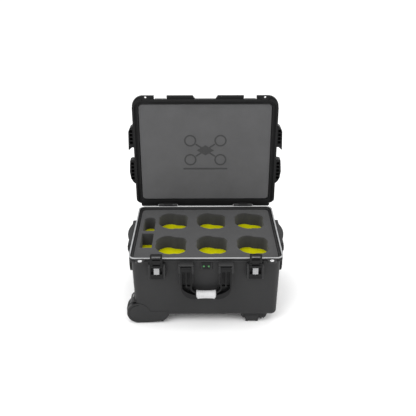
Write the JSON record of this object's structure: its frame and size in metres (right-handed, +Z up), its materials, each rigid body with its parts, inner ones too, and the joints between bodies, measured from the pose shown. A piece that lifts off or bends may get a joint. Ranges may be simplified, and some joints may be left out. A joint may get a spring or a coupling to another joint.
{
  "type": "wheeled carrying case",
  "caption": "Hard wheeled carrying case with a hinged lid, claw latches, swing handles, a sliding pull handle and foam cut with pockets for folding drones.",
  "frame": {"origin": "on the floor, under the middle of the open object's width and depth", "axes": "+Z up, +X to the right seen from the latches, +Y to the back, where the lid hinges"},
  "size_m": [0.672, 0.5775, 0.82],
  "materials": {
    "shell_black": "matte",
    "button_grey": "satin",
    "grip_light": "matte",
    "grip_dark": "matte",
    "seal_grey": "matte",
    "foam_grey": "matte",
    "foam_yellow": "matte",
    "steel": "satin",
    "tube_aluminium": "satin",
    "window_green": "gloss",
    "rubber_pad": "matte",
    "tyre_black": "matte",
    "hub_black": "satin"
  },
  "bodies": {
    "case": {"base_shell": "shell_black", "rim_seal": "seal_grey", "foam_tray": "foam_grey", "foam_contrast_layer": "foam_yellow", "foam_filler": "foam_grey", "padlock_eyelets": "steel", "hinge_pins": "steel", "latch_pins": "steel", "vent_plate": "shell_black", "vent_windows": "window_green", "front_handle_pins": "steel", "left_handle_pins": "steel", "right_handle_pins": "steel", "wheel_housing_front": "shell_black", "wheel_housing_rear": "shell_black", "wheel_fender_front": "shell_black", "wheel_fender_rear": "shell_black", "wheel_axles": "steel", "wheel_spacers": "steel", "foot_front": "shell_black", "foot_rear": "shell_black", "foot_pads": "rubber_pad", "foot_screws": "steel", "pull_outer_tubes": "tube_aluminium", "pull_bracket_inner": "shell_black", "pull_bracket_outer": "shell_black", "bracket_screws": "steel"},
    "lid": {"lid_shell": "shell_black", "lid_foam": "foam_grey"},
    "pull_stage1": {"pull_stage1_tubes": "tube_aluminium"},
    "pull_stage2": {"pull_stage2_tubes": "tube_aluminium", "pull_grip": "grip_dark"},
    "pull_button": {"pull_button": "button_grey"},
    "wheel_front": {"wheel_tyre_front": "tyre_black", "wheel_hub_front": "hub_black", "wheel_bearings_front": "steel"},
    "wheel_rear": {"wheel_tyre_rear": "tyre_black", "wheel_hub_rear": "hub_black", "wheel_bearings_rear": "steel"},
    "latch_lever_right": {"latch_lever_right": "shell_black", "latch_claw_pin_right": "steel", "latch_spring_right": "steel"},
    "latch_claw_right": {"latch_claw_right": "shell_black"},
    "latch_button_right": {"latch_button_right": "button_grey"},
    "latch_lever_left": {"latch_lever_left": "shell_black", "latch_claw_pin_left": "steel", "latch_spring_left": "steel"},
    "latch_claw_left": {"latch_claw_left": "shell_black"},
    "latch_button_left": {"latch_button_left": "button_grey"},
    "front_handle": {"front_handle_frame": "shell_black", "front_handle_grip": "grip_light"},
    "right_handle": {"right_handle_frame": "shell_black", "right_handle_grip": "grip_dark"},
    "left_handle": {"left_handle_frame": "shell_black", "left_handle_grip": "grip_dark"}
  },
  "joints": [
    {"name": "lid_hinge", "type": "hinge", "parent": "case", "child": "lid", "pos_m": [0, 0.223, 0.313], "axis": [1, 0, 0], "range_deg": [0, 90]},
    {"name": "front_handle_swing", "type": "hinge", "parent": "case", "child": "front_handle", "pos_m": [0, -0.275, 0.275], "axis": [-1, 0, 0], "range_deg": [0, 92]},
    {"name": "right_handle_swing", "type": "hinge", "parent": "case", "child": "right_handle", "pos_m": [0.307, -0.004, 0.275], "axis": [0, -1, 0], "range_deg": [0, 92]},
    {"name": "left_handle_swing", "type": "hinge", "parent": "case", "child": "left_handle", "pos_m": [-0.307, -0.004, 0.275], "axis": [0, 1, 0], "range_deg": [0, 92]},
    {"name": "pull_stage1_slide", "type": "slide", "parent": "case", "child": "pull_stage1", "axis": [1, 0, 0], "range_m": [0, 0.32]},
    {"name": "pull_stage2_slide", "type": "slide", "parent": "pull_stage1", "child": "pull_stage2", "axis": [1, 0, 0], "range_m": [0, 0.32]},
    {"name": "pull_button_press", "type": "slide", "parent": "pull_stage2", "child": "pull_button", "axis": [-1, 0, 0], "range_m": [0, 0.0032], "stiffness_N_per_m": 400, "springref_m": -0.003},
    {"name": "latch_lever_right_swing", "type": "hinge", "parent": "case", "child": "latch_lever_right", "pos_m": [0.19, -0.274, 0.241], "axis": [1, 0, 0], "range_deg": [0, 105]},
    {"name": "latch_claw_right_swing", "type": "hinge", "parent": "latch_lever_right", "child": "latch_claw_right", "pos_m": [0.19, -0.278, 0.297], "axis": [1, 0, 0], "range_deg": [-14, 35]},
    {"name": "latch_button_right_press", "type": "slide", "parent": "latch_lever_right", "child": "latch_button_right", "axis": [0, 0, -1], "range_m": [0, 0.004], "stiffness_N_per_m": 500, "springref_m": -0.003, "deforming": ["latch_spring_right"]},
    {"name": "latch_lever_left_swing", "type": "hinge", "parent": "case", "child": "latch_lever_left", "pos_m": [-0.19, -0.274, 0.241], "axis": [1, 0, 0], "range_deg": [0, 105]},
    {"name": "latch_claw_left_swing", "type": "hinge", "parent": "latch_lever_left", "child": "latch_claw_left", "pos_m": [-0.19, -0.278, 0.297], "axis": [1, 0, 0], "range_deg": [-14, 35]},
    {"name": "latch_button_left_press", "type": "slide", "parent": "latch_lever_left", "child": "latch_button_left", "axis": [0, 0, -1], "range_m": [0, 0.004], "stiffness_N_per_m": 500, "springref_m": -0.003, "deforming": ["latch_spring_left"]},
    {"name": "wheel_front_spin", "type": "hinge", "parent": "case", "child": "wheel_front", "pos_m": [-0.273, -0.207, 0.05], "axis": [0, 1, 0], "continuous": true},
    {"name": "wheel_rear_spin", "type": "hinge", "parent": "case", "child": "wheel_rear", "pos_m": [-0.273, 0.159, 0.05], "axis": [0, 1, 0], "continuous": true}
  ]
}
